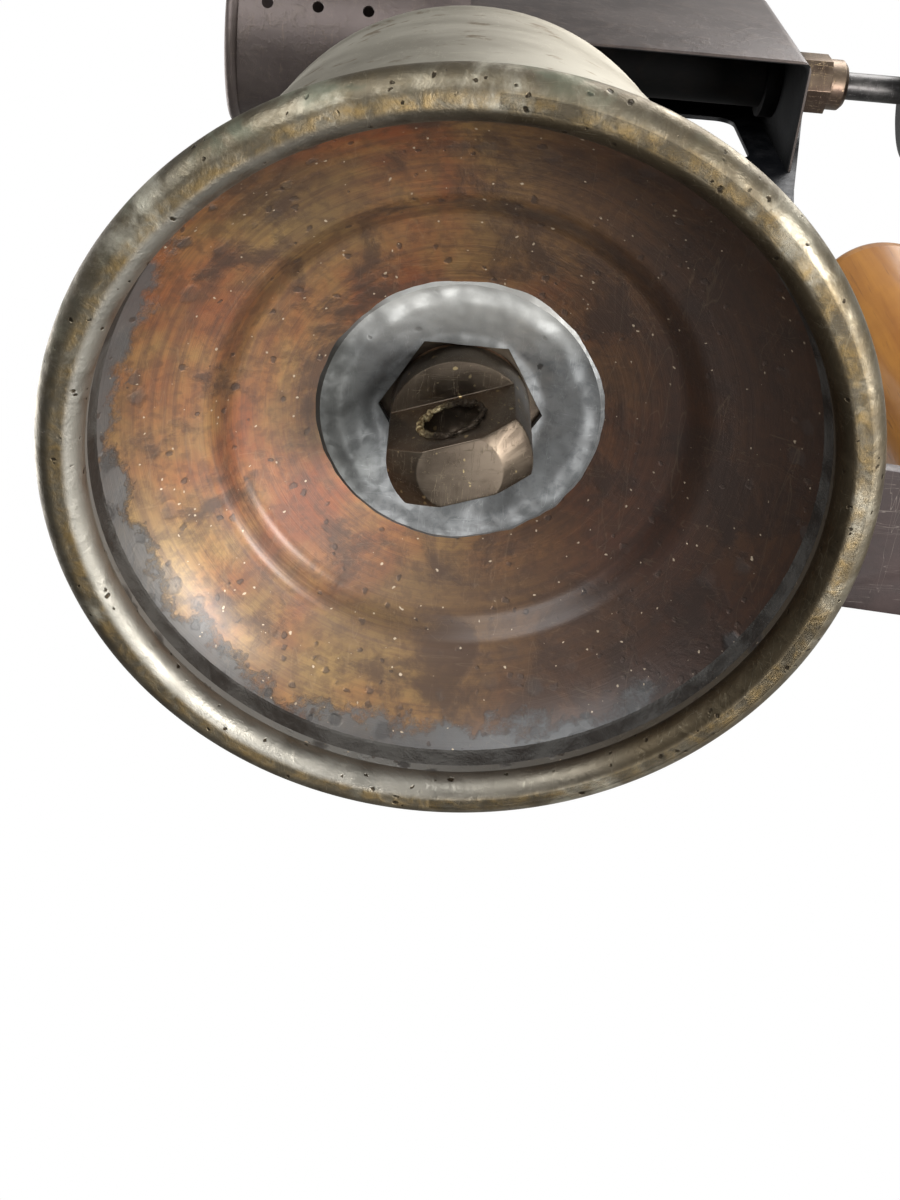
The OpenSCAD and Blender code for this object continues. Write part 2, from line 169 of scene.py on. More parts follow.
# Patches: soft-edged clouds. Cover is how much they fill, Edge how soft they end.
patches, into, out = shader_group(
    "patches", [("Vector", None), ("Scale", 50.0), ("Cover", 0.5), ("Edge", 0.08)], ["Mask"])
cloud = node(patches, "TexNoise", {"Vector": into.outputs["Vector"],
                                   "Scale": into.outputs["Scale"], "Detail": 9.0,
                                   "Roughness": 0.62, "Distortion": 0.35})
level = math_node(patches, "SUBTRACT", 1.0, into.outputs["Cover"])
level = node(patches, "Math", {0: level, 1: 0.6, 2: 0.2}, operation="MULTIPLY_ADD").outputs[0]
soft = node(patches, "MapRange", {
    "Value": cloud.outputs[0],
    "From Min": math_node(patches, "SUBTRACT", level, into.outputs["Edge"]),
    "From Max": math_node(patches, "ADD", level, into.outputs["Edge"])},
    interpolation_type="SMOOTHSTEP")
patches.links.new(soft.outputs[0], out.inputs["Mask"])

# Pits: round specks of uneven size. Share is how many cells have one, Size how wide it is.
pits, into, out = shader_group(
    "pits", [("Vector", None), ("Scale", 400.0), ("Share", 0.3), ("Size", 0.35)], ["Mask"])
wobble = node(pits, "TexNoise", {"Vector": into.outputs["Vector"], "Scale": 700.0})
bent = node(pits, "MixRGB", {0: 0.0012, 1: into.outputs["Vector"], 2: wobble.outputs["Color"]},
            blend_type="ADD")
cells = node(pits, "TexVoronoi", {"Vector": bent.outputs[0], "Scale": into.outputs["Scale"]})
pick = node(pits, "SeparateColor", {0: cells.outputs["Color"]})
reach = times(pits, into.outputs["Size"], math_node(pits, "ADD", 0.4, pick.outputs["Green"]))
spot = node(pits, "MapRange", {"Value": cells.outputs["Distance"], "From Min": reach,
                               "From Max": times(pits, reach, 0.5)},
            interpolation_type="SMOOTHSTEP")
kept = math_node(pits, "LESS_THAN", pick.outputs["Red"], into.outputs["Share"])
pits.links.new(times(pits, spot.outputs[0], kept), out.inputs["Mask"])

# Turning: fine rings about the Z axis, as a spinning or turning tool leaves them
turning, into, out = shader_group(
    "turning", [("Vector", None), ("Fineness", 2500.0)], ["Line", "Radius"])
parts = node(turning, "SeparateXYZ", {"Vector": into.outputs["Vector"]})
radius = node(turning, "VectorMath", {0: node(turning, "CombineXYZ", {
    "X": parts.outputs["X"], "Y": parts.outputs["Y"]}).outputs[0]}, operation="LENGTH")
around = math_node(turning, "ARCTAN2", parts.outputs["Y"], parts.outputs["X"])
ring = node(turning, "CombineXYZ", {
    "X": times(turning, radius.outputs["Value"], into.outputs["Fineness"]),
    "Y": times(turning, math_node(turning, "SINE", around), 0.9),
    "Z": times(turning, math_node(turning, "COSINE", around), 0.9)})
lines = node(turning, "TexNoise", {"Vector": ring.outputs[0], "Scale": 1.0, "Detail": 4.0,
                                   "Roughness": 0.7})
turning.links.new(lines.outputs[0], out.inputs["Line"])
turning.links.new(radius.outputs["Value"], out.inputs["Radius"])

# Scratches: thin stray lines that cross each other
scratches, into, out = shader_group(
    "scratches", [("Vector", None), ("Scale", 60.0), ("Amount", 0.5)], ["Mask"])
strands = []
for turn, stretch in ((0.4, (1, 14, 5)), (1.7, (12, 1, 6)), (2.6, (9, 1, 3))):
    laid = node(scratches, "Mapping", {"Vector": into.outputs["Vector"],
                                       "Rotation": (turn, 0.3 * turn, turn),
                                       "Scale": stretch})
    lines = node(scratches, "TexNoise", {"Vector": laid.outputs[0],
                                         "Scale": into.outputs["Scale"], "Detail": 2.0,
                                         "Distortion": 0.15})
    off_line = math_node(scratches, "SUBTRACT", lines.outputs[0], 0.62)
    strands.append(rise(scratches, math_node(scratches, "ABSOLUTE", off_line), 0.006, 0.0))
crossed = math_node(scratches, "MAXIMUM", strands[0], strands[1])
crossed = math_node(scratches, "MAXIMUM", crossed, strands[2])
scratches.links.new(times(scratches, crossed, into.outputs["Amount"]), out.inputs["Mask"])


def placed(tree, group, vector, **values):
    """One use of a shared group, with its own values."""
    made = tree.nodes.new("ShaderNodeGroup")
    made.node_tree = group
    tree.links.new(vector, made.inputs["Vector"])
    for label, value in values.items():
        made.inputs[label].default_value = value
    return made


def mask(tree, group, vector, **values):
    return placed(tree, group, vector, **values).outputs[0]


def mix(tree, factor, low, high):
    """Colour low where factor is 0 and high where it is 1."""
    values = {0: factor}
    for place, colour in ((1, low), (2, high)):
        values[place] = colour if isinstance(colour, bpy.types.NodeSocket) else (*colour, 1)
    return node(tree, "MixRGB", values).outputs[0]


def level_of(tree, value, low, high, start=0.0, end=1.0):
    """Value from start to end, stretched to run from low to high."""
    return node(tree, "MapRange", {"Value": value, "From Min": start, "From Max": end,
                                   "To Min": low, "To Max": high}).outputs[0]


def surface(name, metallic=1.0):
    """A new material: (material, its tree, object coordinates, its shader)."""
    made = bpy.data.materials.new(name)
    made.use_nodes = True
    shader = made.node_tree.nodes["Principled BSDF"]
    shader.inputs["Metallic"].default_value = metallic
    place = node(made.node_tree, "TexCoord").outputs["Object"]
    return made, made.node_tree, place, shader


def lay_surface(tree, shader, colour, rough, height, depth):
    """Links colour, roughness and bumps of the given depth to the shader."""
    tree.links.new(colour, shader.inputs["Base Color"])
    tree.links.new(rough, shader.inputs["Roughness"])
    bump = node(tree, "Bump", {"Height": height, "Distance": depth, "Strength": 1.0})
    tree.links.new(bump.outputs[0], shader.inputs["Normal"])


def paint(piece, material):
    piece.data.materials.clear()
    piece.data.materials.append(material)


def turned_piece(name, cad_name, body, profile, flats):
    """Turned or spun metal that stands for a CAD node.

    The profile is a closed loop of (radius, height) in metres, and flats is how many flat
    faces go round.
    """
    (first_r, first_z), *rest = profile
    bpy.ops.mesh.primitive_circle_add(vertices=flats, radius=first_r)
    piece = bpy.context.object
    piece.name = name
    bpy.ops.object.mode_set(mode="EDIT")
    bpy.ops.mesh.select_all(action="SELECT")
    bpy.ops.transform.translate(value=(0, 0, first_z))
    last_r, last_z = first_r, first_z
    for ring_r, ring_z in [*rest, profile[0]]:
        bpy.ops.mesh.extrude_region_move(
            TRANSFORM_OT_translate={"value": (0, 0, ring_z - last_z)})
        grow = ring_r / last_r
        bpy.ops.transform.resize(value=(grow, grow, 1), center_override=(0, 0, ring_z))
        last_r, last_z = ring_r, ring_z
    bpy.ops.mesh.select_all(action="SELECT")
    bpy.ops.mesh.remove_doubles(threshold=2e-6)
    bpy.ops.mesh.normals_make_consistent(inside=False)
    bpy.ops.object.mode_set(mode="OBJECT")
    bpy.ops.object.shade_smooth_by_angle(angle=math.radians(35))
    piece.select_set(False)
    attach(piece, body)
    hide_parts(cad_name)
    return piece


# The bead's underside is worn flat where it stands
foot_r = 0.06
bead_r = 0.00345
bead_centre_r = foot_r - bead_r
bead_centre_z = 0.0033
bead_points = 44
bead_angles = [math.tau * i / bead_points for i in range(bead_points)]
bead_outline = [(bead_centre_r + bead_r * math.cos(a),
                 max(0.0, bead_centre_z + bead_r * math.sin(a))) for a in bead_angles]
bead = turned_piece("rolled_bead", "base_rim", "root", bead_outline, flats=288)

# Radii where the verdigris of the bead's outer side and the painted shade of its inner side
# begin and are full, and the middle of its underside, with how far from it the golden wear
# ends and is full
outer_side = (0.0572, 0.0592)
underside_r = 0.0562
underside_reach = (0.0018, 0.0006)
inner_side = (0.0559, 0.0549)
foot_brass, tree, place, shader = surface("foot_brass")
turned = placed(tree, turning, place, Fineness=1800.0)
worn = mask(tree, patches, place, Scale=150.0, Cover=0.45, Edge=0.12)
rubbed = mask(tree, patches, place, Scale=60.0, Cover=0.30, Edge=0.08)
flecks = mask(tree, patches, place, Scale=300.0, Cover=0.45, Edge=0.16)
specks = mask(tree, pits, place, Scale=800.0, Share=0.14, Size=0.32)
marks = mask(tree, scratches, place, Scale=60.0, Amount=0.12)
spread = node(tree, "SeparateXYZ", {"Vector": place})
away = rise(tree, plus(tree, spread.outputs["Y"], spread.outputs["X"], 0.45), -0.035, -0.058)
outside = rise(tree, turned.outputs["Radius"], *outer_side)
from_underside = math_node(tree, "SUBTRACT", turned.outputs["Radius"], underside_r)
under = rise(tree, math_node(tree, "ABSOLUTE", from_underside), *underside_reach)
green = mask(tree, patches, place, Scale=130.0, Cover=0.42, Edge=0.09)
green = times(tree, times(tree, green, away), outside)
colour = mix(tree, worn, (0.120, 0.100, 0.070), (0.230, 0.203, 0.153))
colour = mix(tree, rubbed, colour, (0.46, 0.43, 0.35))
golden = times(tree, flecks, level_of(tree, under, 0.1, 0.8))
colour = mix(tree, golden, colour, (0.30, 0.205, 0.085))
# Painted shade and highlight: the bead's inner side is darkened, and made silvery on the flame
# side, where the light falls
within = rise(tree, turned.outputs["Radius"], *inner_side)
across = math_node(tree, "SUBTRACT", times(tree, spread.outputs["Y"], 0.3), spread.outputs["X"])
flameward = rise(tree, across, -0.02, 0.035)
colour = mix(tree, within, colour, (0.085, 0.066, 0.042))
colour = mix(tree, times(tree, within, flameward), colour, (0.30, 0.285, 0.25))
colour = mix(tree, specks, colour, (0.045, 0.035, 0.024))
colour = mix(tree, marks, colour, (0.62, 0.56, 0.42))
colour = mix(tree, times(tree, green, 0.45), colour, (0.20, 0.235, 0.18))
rough = level_of(tree, worn, 0.54, 0.40)
rough = plus(tree, rough, green, 0.3)
bumps = math_node(tree, "SUBTRACT", times(tree, flecks, 0.5), plus(tree, specks, marks, 0.3))
bumps = plus(tree, bumps, worn, 0.35)
lay_surface(tree, shader, colour, rough, bumps, 0.00010)
paint(bead, foot_brass)

steel, tree, place, shader = surface("dull_steel")
stain = mask(tree, patches, place, Scale=160.0, Cover=0.5, Edge=0.14)
marks = mask(tree, scratches, place, Scale=90.0, Amount=0.6)
colour = mix(tree, stain, (0.055, 0.052, 0.052), (0.12, 0.115, 0.112))
colour = mix(tree, marks, colour, (0.36, 0.35, 0.34))
lay_surface(tree, shader, colour, level_of(tree, stain, 0.36, 0.52), marks, 0.00004)
paint(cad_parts["rim_wire"], steel)


# --- Tank --------------------------------------------------------------------------------
# The tank is spun from one sheet of brass: tapered wall, shoulder and dome. It has gone a
# dull grey-brown.
tank_brass, tree, place, shader = surface("tank_brass")
dull = mask(tree, patches, place, Scale=22.0, Cover=0.5, Edge=0.2)
spots = mask(tree, patches, place, Scale=140.0, Cover=0.3, Edge=0.05)
marks = mask(tree, scratches, place, Scale=40.0, Amount=0.5)
colour = mix(tree, dull, (0.28, 0.25, 0.195), (0.42, 0.39, 0.325))
colour = mix(tree, spots, colour, (0.19, 0.15, 0.10))
colour = mix(tree, marks, colour, (0.50, 0.46, 0.36))
lay_surface(tree, shader, colour, level_of(tree, dull, 0.48, 0.62), marks, 0.00003)
paint(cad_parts["tank_shell"], tank_brass)


# --- Bottom dish -------------------------------------------------------------------------
# A spun brass dish, soldered in, closes the tank's bottom. Spirit and heat have turned it
# copper-brown, with golden rubbed areas, pitting, and grey solder smeared round its edge.
# Its colour also holds painted light: sheen and highlight towards the flame, shade elsewhere.
boss_hole_r = 0.0132
boss_face_z = 0.0306
cone_slope = 0.37
ridge_r = 0.0363
ridge_width = 0.0045
ridge_step = 0.0026
edge_fall = 0.005
flange_in = 0.0533
flange_out = 0.0544
flange_bend_z = 0.006
flange_end_z = 0.003
dish_sheet = 0.0009
dish_sheet_upright = 0.001
dish_steps = 64


def ease(t):
    """0 to 1 with soft ends."""
    t = min(1.0, max(0.0, t))
    return t * t * (3 - 2 * t)


def dish_height(r):
    """Height of the dish's underside: a cone, a soft step at the ridge, and a falling edge."""
    cone = boss_face_z - cone_slope * (r - boss_hole_r)
    step = ridge_step * ease((r - ridge_r) / ridge_width + 0.5)
    past_ridge = max(0.0, r - ridge_r) / (flange_in - ridge_r)
    return cone - step - edge_fall * past_ridge ** 3


dish_rings = [boss_hole_r + (flange_in - boss_hole_r) * i / dish_steps
              for i in range(dish_steps + 1)]
dish_outline = [
    *[(r, dish_height(r)) for r in dish_rings],
    (flange_in, flange_bend_z), (flange_in, flange_end_z), (flange_out, flange_end_z),
    (flange_out, dish_height(flange_in) + dish_sheet),
    *[(r, dish_height(r) + dish_sheet_upright) for r in reversed(dish_rings[::8])]]
dish = turned_piece("spun_dish", "bottom_dish", "root", dish_outline, flats=256)

# Radii where the finish of the dish's outer zone and its turned-down flange begins and is full
outer_zone = (0.043, 0.0525)
flange_zone = (0.0528, 0.0532)
dish_brass, tree, place, shader = surface("dish_brass", 0.62)
turned = placed(tree, turning, place, Fineness=4200.0)
coarse = placed(tree, turning, place, Fineness=900.0).outputs["Line"]
spread = node(tree, "SeparateXYZ", {"Vector": place})
blush = mask(tree, patches, place, Scale=38.0, Cover=0.5, Edge=0.16)
gold = mask(tree, patches, place, Scale=34.0, Cover=0.52, Edge=0.13)
soot = mask(tree, patches, place, Scale=85.0, Cover=0.42, Edge=0.07)
browned = mask(tree, patches, place, Scale=24.0, Cover=0.46, Edge=0.12)
fine = mask(tree, patches, place, Scale=520.0, Cover=0.44, Edge=0.1)
flameward = rise(tree, spread.outputs["X"], 0.032, -0.010)
cheekward = rise(tree, spread.outputs["Y"], -0.02, 0.03)
# The golden rubbed patches are made stronger towards the flame side, partly as a painted sheen
# where the light falls
golden = times(tree, gold, level_of(tree, flameward, 0.1, 0.95))
streaks = level_of(tree, coarse, 0.0, 1.0, 0.45, 0.62)
colour = mix(tree, blush, (0.200, 0.062, 0.024), (0.310, 0.125, 0.046))
colour = mix(tree, golden, colour, (0.290, 0.185, 0.066))
colour = mix(tree, times(tree, streaks, 0.5), colour, (0.10, 0.052, 0.034))
colour = mix(tree, times(tree, soot, 0.8), colour, (0.050, 0.030, 0.022))
colour = mix(tree, times(tree, fine, 0.45), colour, (0.070, 0.038, 0.024))
colour = mix(tree, times(tree, browned, 0.6), colour, (0.085, 0.048, 0.030))
# Painted shade: the dish is darkened towards the handle's side, which faces away from the light
painted_shade_side = level_of(tree, flameward, 0.84, 0.0)
colour = mix(tree, painted_shade_side, colour, (0.030, 0.018, 0.014))
outer = rise(tree, turned.outputs["Radius"], *outer_zone)
ragged = node(tree, "TexNoise", {
    "Vector": place, "Scale": 95.0, "Detail": 9.0, "Roughness": 0.7})
shore = plus(tree, outer, math_node(tree, "SUBTRACT", ragged.outputs[0], 0.5), 2.2)
across = math_node(tree, "SUBTRACT", spread.outputs["Y"], spread.outputs["X"])
smeared_side = rise(tree, across, -0.03, 0.025)
shore = times(tree, shore, level_of(tree, smeared_side, 0.2, 1.0))
smear = level_of(tree, shore, 0.0, 0.9, 0.66, 0.86)
flange = rise(tree, turned.outputs["Radius"], *flange_zone)
# Tin on the flange, made lighter towards the flame side as a painted highlight where the light
# falls
tin_and_painted_highlight = times(tree, flange, level_of(tree, flameward, 0.05, 1.0))
blots = mask(tree, pits, place, Scale=250.0, Share=0.5, Size=0.42)
blot_side = math_node(tree, "MAXIMUM", flameward, cheekward)
blot_zone = times(tree, level_of(tree, outer, 0.10, 1.0), level_of(tree, blot_side, 0.2, 1.0))
blots = times(tree, blots, blot_zone)
dots = mask(tree, pits, place, Scale=560.0, Share=0.16, Size=0.34)
crumbs = mask(tree, pits, place, Scale=1300.0, Share=0.05, Size=0.28)
tinned = mix(tree, ragged.outputs[0], (0.038, 0.036, 0.036), (0.140, 0.140, 0.140))
colour = mix(tree, smear, colour, tinned)
colour = mix(tree, flange, colour, (0.105, 0.086, 0.062))
colour = mix(tree, tin_and_painted_highlight, colour, (0.24, 0.235, 0.22))
colour = mix(tree, times(tree, blots, 0.85), colour, (0.060, 0.056, 0.054))
colour = mix(tree, times(tree, dots, 0.7), colour, (0.055, 0.036, 0.028))
colour = mix(tree, crumbs, colour, (0.45, 0.36, 0.26))
marks = mask(tree, scratches, place, Scale=26.0, Amount=0.05)
colour = mix(tree, marks, colour, (0.62, 0.48, 0.30))
rough = level_of(tree, turned.outputs["Line"], 0.44, 0.62)
rough = plus(tree, rough, smear, 0.08)
bumps = times(tree, turned.outputs["Line"], 0.22)
for layer, share in ((coarse, 0.35), (blots, 1.1), (smear, 0.8), (soot, 0.3)):
    bumps = plus(tree, bumps, layer, share)
bumps = math_node(tree, "SUBTRACT", bumps, times(tree, dots, 0.4))
lay_surface(tree, shader, colour, rough, bumps, 0.00022)
shader.inputs["Coat Weight"].default_value = 0.35
shader.inputs["Coat Roughness"].default_value = 0.32
shader.inputs["Coat IOR"].default_value = 1.7
paint(dish, dish_brass)


# --- Solder ------------------------------------------------------------------------------
# Soft solder holds the dish and the boss: a wide ring round the boss, gone blue-grey, and a
# fillet round the dish's edge, gone brown.
def ripple(piece, size, depth):
    """Uneven surface: pushes the piece's points by up to depth, in waves of the given size."""
    waves = bpy.data.textures.new(piece.name + "_waves", "CLOUDS")
    waves.noise_scale = size
    push = piece.modifiers.new("ripple", "DISPLACE")
    push.texture = waves
    push.texture_coords = "LOCAL"
    push.direction = "NORMAL"
    push.strength = depth
    bpy.context.view_layer.objects.active = piece
    piece.select_set(True)
    bpy.ops.object.modifier_apply(modifier="ripple")
    piece.select_set(False)


# The ring round the boss: flat in the middle, with a rounded and uneven outer edge, cut out
# for the boss's hexagon
ring_in = 0.0105
ring_r = 0.0218
ring_steps = 22
ring_proud = 0.0006
ring_round = 0.0009
ring_round_width = 0.0035
ring_lip = 0.0008
ring_lip_depth = 0.0001
ring_back_z = boss_face_z + 0.002
boss_corner_r = 0.01293

ring_radii = [ring_in + (ring_r - ring_in) * i / ring_steps for i in range(ring_steps + 1)]
ring_outline = [
    *[(r, dish_height(max(r, boss_hole_r)) - ring_proud
       - ring_round * ease((ring_r - r) / ring_round_width)) for r in ring_radii],
    (ring_r + ring_lip, dish_height(ring_r) - ring_lip_depth),
    (ring_r, boss_face_z), (ring_in, ring_back_z)]
boss_ring = turned_piece("solder_ring", "filler_solder", "root", ring_outline,
                         flats=240)
ripple(boss_ring, size=0.008, depth=0.0012)
ripple(boss_ring, size=0.003, depth=0.0002)
bpy.ops.mesh.primitive_cylinder_add(vertices=6, radius=boss_corner_r, depth=0.02,
                                    location=(0, 0, boss_face_z),
                                    rotation=(0, 0, math.radians(30)))
hexagon = bpy.context.object
hexagon.select_set(False)
cut = boss_ring.modifiers.new("hexagon", "BOOLEAN")
cut.operation = "DIFFERENCE"
cut.object = hexagon
bpy.context.view_layer.objects.active = boss_ring
boss_ring.select_set(True)
bpy.ops.object.modifier_apply(modifier="hexagon")
boss_ring.select_set(False)
bpy.data.objects.remove(hexagon)

solder, tree, place, shader = surface("solder", 0.6)
cloudy = mask(tree, patches, place, Scale=95.0, Cover=0.5, Edge=0.18)
grains = mask(tree, patches, place, Scale=520.0, Cover=0.42, Edge=0.12)
drops = mask(tree, pits, place, Scale=420.0, Share=0.10, Size=0.34)
marks = mask(tree, scratches, place, Scale=60.0, Amount=0.3)
colour = mix(tree, cloudy, (0.165, 0.171, 0.173), (0.200, 0.204, 0.206))
colour = mix(tree, times(tree, grains, 0.5), colour, (0.075, 0.08, 0.083))
colour = mix(tree, drops, colour, (0.06, 0.06, 0.06))
colour = mix(tree, marks, colour, (0.42, 0.43, 0.43))
# A painted shadow lies on the flame's side, where the plug's shadow falls, and a painted
# highlight on the near side
spread = node(tree, "SeparateXYZ", {"Vector": place})
painted_shadow = level_of(tree, spread.outputs["X"], 0.0, 0.85, -0.010, -0.019)
colour = mix(tree, painted_shadow, colour, (0.060, 0.061, 0.056))
painted_highlight = level_of(tree, spread.outputs["Y"], 0.0, 0.8, -0.010, -0.018)
colour = mix(tree, painted_highlight, colour, (0.48, 0.48, 0.46))
bumps = plus(tree, times(tree, cloudy, 0.35), grains, 0.2)
bumps = math_node(tree, "SUBTRACT", bumps, times(tree, drops, 0.8))
lay_surface(tree, shader, colour, level_of(tree, grains, 0.44, 0.56), bumps, 0.00004)
paint(boss_ring, solder)

fillet, tree, place, shader = surface("browned_fillet", 0.5)
cloudy = mask(tree, patches, place, Scale=120.0, Cover=0.5, Edge=0.15)
colour = mix(tree, cloudy, (0.035, 0.030, 0.026), (0.085, 0.080, 0.073))
lay_surface(tree, shader, colour, level_of(tree, cloudy, 0.5, 0.65), cloudy, 0.0003)
paint(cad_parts["rim_solder"], fillet)


# --- Filler boss, washer and plug --------------------------------------------------------
# The plug is turned brass, milled down to a slab with a round cross hole for a bar. Bars
# have torn the hole's mouth. A brown leather washer seals the plug against the hexagon boss.
def smooth_copy(name, cad_name, body, bevel=0.0003, segments=2):
    """A merged copy of a CAD node with softened edges, which stands for the node."""
    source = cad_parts[cad_name]
    piece = bpy.data.objects.new(name, source.data.copy())
    bpy.context.collection.objects.link(piece)
    bpy.context.view_layer.objects.active = piece
    piece.select_set(True)
    bpy.ops.object.mode_set(mode="EDIT")
    bpy.ops.mesh.select_all(action="SELECT")
    bpy.ops.mesh.remove_doubles(threshold=2e-6)
    bpy.ops.mesh.customdata_custom_splitnormals_clear()
    bpy.ops.mesh.dissolve_limited(angle_limit=math.radians(0.5))
    bpy.ops.object.mode_set(mode="OBJECT")
    edge = piece.modifiers.new("edge", "BEVEL")
    edge.width = bevel
    edge.segments = segments
    edge.limit_method = "ANGLE"
    edge.angle_limit = math.radians(32)
    edge.harden_normals = False
    bpy.ops.object.modifier_apply(modifier="edge")
    bpy.ops.object.shade_smooth_by_angle(angle=math.radians(28))
    piece.select_set(False)
    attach(piece, body)
    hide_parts(cad_name)
    return piece


plug_brass, tree, place, shader = surface("plug_brass")
film = mask(tree, patches, place, Scale=120.0, Cover=0.5, Edge=0.18)
marks = mask(tree, scratches, place, Scale=120.0, Amount=0.6)
specks = mask(tree, pits, place, Scale=900.0, Share=0.15, Size=0.35)
colour = mix(tree, film, (0.095, 0.074, 0.056), (0.165, 0.132, 0.100))
colour = mix(tree, marks, colour, (0.34, 0.28, 0.18))
colour = mix(tree, specks, colour, (0.42, 0.33, 0.18))
lay_surface(tree, shader, colour, level_of(tree, film, 0.34, 0.48), marks, 0.00004)
paint(smooth_copy("plug_slab", "filler_plug", "plug", 0.00022, 3), plug_brass)

# The torn burr of brass round the mouth of the cross hole
slab_turn = math.radians(-20)
mouth_out = 0.00485
mouth_z = 0.017
burr_r = 0.0049
burr_thick_r = 0.0005
mouth = (mouth_out * math.sin(slab_turn), -mouth_out * math.cos(slab_turn), mouth_z)
bpy.ops.mesh.primitive_torus_add(major_radius=burr_r, minor_radius=burr_thick_r,
                                 major_segments=96, minor_segments=16, location=mouth,
                                 rotation=(math.pi / 2, 0, slab_turn))
burr = bpy.context.object
burr.name = "hole_burr"
bpy.ops.object.transform_apply(location=True, rotation=True, scale=True)
bpy.ops.object.shade_smooth()
burr.select_set(False)
ripple(burr, size=0.0011, depth=0.0011)
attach(burr, "plug")

# A painted highlight makes it bright at one spot on the flame's side, with painted shade
# elsewhere
painted_highlight_spot = (-0.0060, -0.0036, 0.0180)
torn_brass, tree, place, shader = surface("torn_brass", 0.7)
flake = mask(tree, patches, place, Scale=700.0, Cover=0.5, Edge=0.1)
colour = mix(tree, flake, (0.16, 0.11, 0.05), (0.92, 0.78, 0.46))
from_spot = node(tree, "VectorMath", {0: place, 1: painted_highlight_spot}, operation="DISTANCE")
painted_shade_off_spot = rise(tree, from_spot.outputs["Value"], 0.0028, 0.0058)
colour = mix(tree, painted_shade_off_spot, colour, (0.045, 0.033, 0.022))
lay_surface(tree, shader, colour, level_of(tree, flake, 0.5, 0.3), flake, 0.0002)
paint(burr, torn_brass)

# Painted shade: the boss is coloured darker than the other brass, for the shade it sits in
# below the solder ring
boss_brown, tree, place, shader = surface("boss_brown", 0.8)
film = mask(tree, patches, place, Scale=160.0, Cover=0.5, Edge=0.16)
colour = mix(tree, film, (0.050, 0.036, 0.026), (0.115, 0.090, 0.064))
lay_surface(tree, shader, colour, level_of(tree, film, 0.40, 0.55), film, 0.00005)
paint(smooth_copy("boss_hexagon", "filler_boss", "root", 0.0002), boss_brown)

leather, tree, place, shader = surface("oiled_leather", 0.0)
grain = mask(tree, patches, place, Scale=700.0, Cover=0.5, Edge=0.2)
colour = mix(tree, grain, (0.07, 0.035, 0.018), (0.14, 0.075, 0.038))
lay_surface(tree, shader, colour, level_of(tree, grain, 0.5, 0.7), grain, 0.0001)
for name in ("filler_washer", "neck_washer"):
    paint(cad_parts[name], leather)


# --- Wick --------------------------------------------------------------------------------
# Twisted cotton that lifts the spirit from the tank into the riser. The gland's packing is
# wound from the same cotton.
cotton, tree, place, shader = surface("cotton", 0.0)
strand = node(tree, "TexWave", {"Vector": place, "Scale": 180.0, "Distortion": 1.5},
              bands_direction="DIAGONAL")
colour = mix(tree, strand.outputs["Fac"], (0.50, 0.45, 0.34), (0.74, 0.70, 0.58))
lay_surface(tree, shader, colour, level_of(tree, strand.outputs["Fac"], 0.8, 0.95),
             strand.outputs["Fac"], 0.0003)
for name in ("fuel_wick", "gland_packing"):
    paint(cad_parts[name], cotton)


# --- Neck union, priming cup, riser and valve --------------------------------------------
# Turned brass fittings, browned by the heat and scratched golden. The nuts of the knob and
# the grip, the grip's ferrule and the strap's rivets are of the same brass.
fittings, tree, place, shader = surface("fittings_brass")
film = mask(tree, patches, place, Scale=85.0, Cover=0.5, Edge=0.16)
marks = mask(tree, scratches, place, Scale=90.0, Amount=0.5)
colour = mix(tree, film, (0.105, 0.072, 0.056), (0.185, 0.140, 0.102))
colour = mix(tree, marks, colour, (0.46, 0.34, 0.18))
lay_surface(tree, shader, colour, level_of(tree, film, 0.34, 0.5), marks, 0.00004)
for name in ("neck_bush", "neck_nut", "preheat_cup", "gland_nut", "grip_ferrule",
             "handle_washer", "handle_foot_nut", "strap_rivets"):
    paint(smooth_copy(name + "_turned", name, "root"), fittings)
paint(smooth_copy("knob_nut_turned", "knob_nut", "spindle", 0.0002), fittings)

# The valve and its jet stand inside the hood, and are coloured nearly black
near_black, tree, place, shader = surface("near_black_brass", 0.4)
film = mask(tree, patches, place, Scale=120.0, Cover=0.4, Edge=0.16)
colour = mix(tree, film, (0.004, 0.004, 0.004), (0.010, 0.008, 0.007))
lay_surface(tree, shader, colour, level_of(tree, film, 0.75, 0.9), film, 0.0001)
shader.inputs["Specular IOR Level"].default_value = 0.15
for name in ("valve_body", "jet_nipple"):
    paint(smooth_copy(name + "_sooty", name, "root"), near_black)


# --- Flame tube --------------------------------------------------------------------------
# Perforated brass tube with a rolled mouth, burnt to a dark purple-brown, like the riser
# and the plate that closes the tube's rear.
tube_brass, tree, place, shader = surface("burnt_brass", 0.85)
burnt = mask(tree, patches, place, Scale=28.0, Cover=0.5, Edge=0.2)
dust = mask(tree, patches, place, Scale=260.0, Cover=0.4, Edge=0.1)
marks = mask(tree, scratches, place, Scale=50.0, Amount=0.4)
colour = mix(tree, burnt, (0.080, 0.062, 0.060), (0.165, 0.135, 0.125))
colour = mix(tree, times(tree, dust, 0.3), colour, (0.16, 0.13, 0.11))
colour = mix(tree, marks, colour, (0.26, 0.20, 0.15))
lay_surface(tree, shader, colour, level_of(tree, burnt, 0.40, 0.56), dust, 0.00005)
for name in ("flame_tube", "mouth_ring", "tube_back_plate", "riser_tube"):
    paint(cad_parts[name], tube_brass)


# --- Hood and cheek plate ----------------------------------------------------------------
# Bent brown sheet, nearly black inside, closed on the far side by a black iron plate that runs
# down as a stay. Screws hold the two together.

